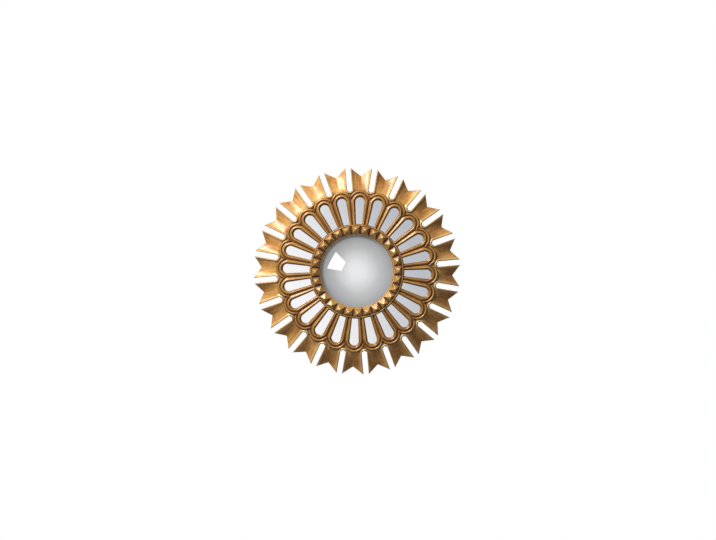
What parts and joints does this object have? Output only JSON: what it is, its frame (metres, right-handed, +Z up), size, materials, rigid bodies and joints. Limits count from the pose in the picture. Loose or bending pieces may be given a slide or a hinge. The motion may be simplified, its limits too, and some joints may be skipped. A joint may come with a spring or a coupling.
{
  "type": "convex butlers mirror",
  "caption": "Round convex mirror in a studded gilt bezel, ringed by arched mirror insets and an openwork border of fluted petals, to hang on a wall.",
  "frame": {"origin": "the wall plane, straight behind the centre of the convex glass", "axes": "+Z up, -Y out of the wall towards whoever looks at the mirror, +X to that person's right"},
  "size_m": [0.557, 0.044, 0.557],
  "materials": {
    "gilt": "carved wood under worn gold leaf, with red-brown bole showing in the hollows",
    "mirror_glass": "silvered glass",
    "hardboard": "plain brown hardboard",
    "felt": "black felt",
    "brass": "dull brass",
    "steel": "zinc-plated steel",
    "rubber": "off-white soft rubber"
  },
  "bodies": {
    "frame": {"petal_ring": "gilt", "arcade_ring": "gilt", "studded_bezel": "gilt", "convex_glass": "mirror_glass", "inset_mirror_01": "mirror_glass", "inset_mirror_02": "mirror_glass", "inset_mirror_03": "mirror_glass", "inset_mirror_04": "mirror_glass", "inset_mirror_05": "mirror_glass", "inset_mirror_06": "mirror_glass", "inset_mirror_07": "mirror_glass", "inset_mirror_08": "mirror_glass", "inset_mirror_09": "mirror_glass", "inset_mirror_10": "mirror_glass", "inset_mirror_11": "mirror_glass", "inset_mirror_12": "mirror_glass", "inset_mirror_13": "mirror_glass", "inset_mirror_14": "mirror_glass", "inset_mirror_15": "mirror_glass", "inset_mirror_16": "mirror_glass", "inset_mirror_17": "mirror_glass", "inset_mirror_18": "mirror_glass", "inset_mirror_19": "mirror_glass", "inset_mirror_20": "mirror_glass", "inset_mirror_21": "mirror_glass", "inset_mirror_22": "mirror_glass", "inset_mirror_23": "mirror_glass", "inset_mirror_24": "mirror_glass", "inset_backing_board": "hardboard", "glass_pad_ring": "felt", "glass_backing_disc": "hardboard", "board_screw_1": "steel", "board_screw_2": "steel", "board_screw_3": "steel", "board_screw_4": "steel", "board_screw_5": "steel", "board_screw_6": "steel", "turn_button_screw_1": "brass", "turn_button_screw_2": "brass", "turn_button_screw_3": "brass", "turn_button_screw_4": "brass", "hanger_strap_left": "steel", "hanger_strap_right": "steel", "hanger_screw_left_1": "steel", "hanger_screw_left_2": "steel", "hanger_screw_right_1": "steel", "hanger_screw_right_2": "steel", "wall_bumper_1": "rubber", "wall_bumper_2": "rubber", "wall_bumper_3": "rubber", "wall_bumper_4": "rubber"},
    "turn_button_1": {"turn_button_1": "brass"},
    "turn_button_2": {"turn_button_2": "brass"},
    "turn_button_3": {"turn_button_3": "brass"},
    "turn_button_4": {"turn_button_4": "brass"},
    "hanger_ring_left": {"hanger_ring_left": "steel"},
    "hanger_ring_right": {"hanger_ring_right": "steel"}
  },
  "joints": [
    {"name": "turn_button_1_pivot", "type": "hinge", "parent": "frame", "child": "turn_button_1", "pos_m": [0.07778, -0.0114, 0.07778], "axis": [0, 1, 0], "continuous": true},
    {"name": "turn_button_2_pivot", "type": "hinge", "parent": "frame", "child": "turn_button_2", "pos_m": [0.07778, -0.0114, -0.07778], "axis": [0, 1, 0], "continuous": true},
    {"name": "turn_button_3_pivot", "type": "hinge", "parent": "frame", "child": "turn_button_3", "pos_m": [-0.07778, -0.0114, -0.07778], "axis": [0, 1, 0], "continuous": true},
    {"name": "turn_button_4_pivot", "type": "hinge", "parent": "frame", "child": "turn_button_4", "pos_m": [-0.07778, -0.0114, 0.07778], "axis": [0, 1, 0], "continuous": true},
    {"name": "hanger_ring_left_swing", "type": "hinge", "parent": "frame", "child": "hanger_ring_left", "pos_m": [-0.11599, -0.0049, 0.2071], "axis": [-1, 0, 0], "range_deg": [0, 178]},
    {"name": "hanger_ring_right_swing", "type": "hinge", "parent": "frame", "child": "hanger_ring_right", "pos_m": [0.11599, -0.0049, 0.2071], "axis": [-1, 0, 0], "range_deg": [0, 178]}
  ]
}
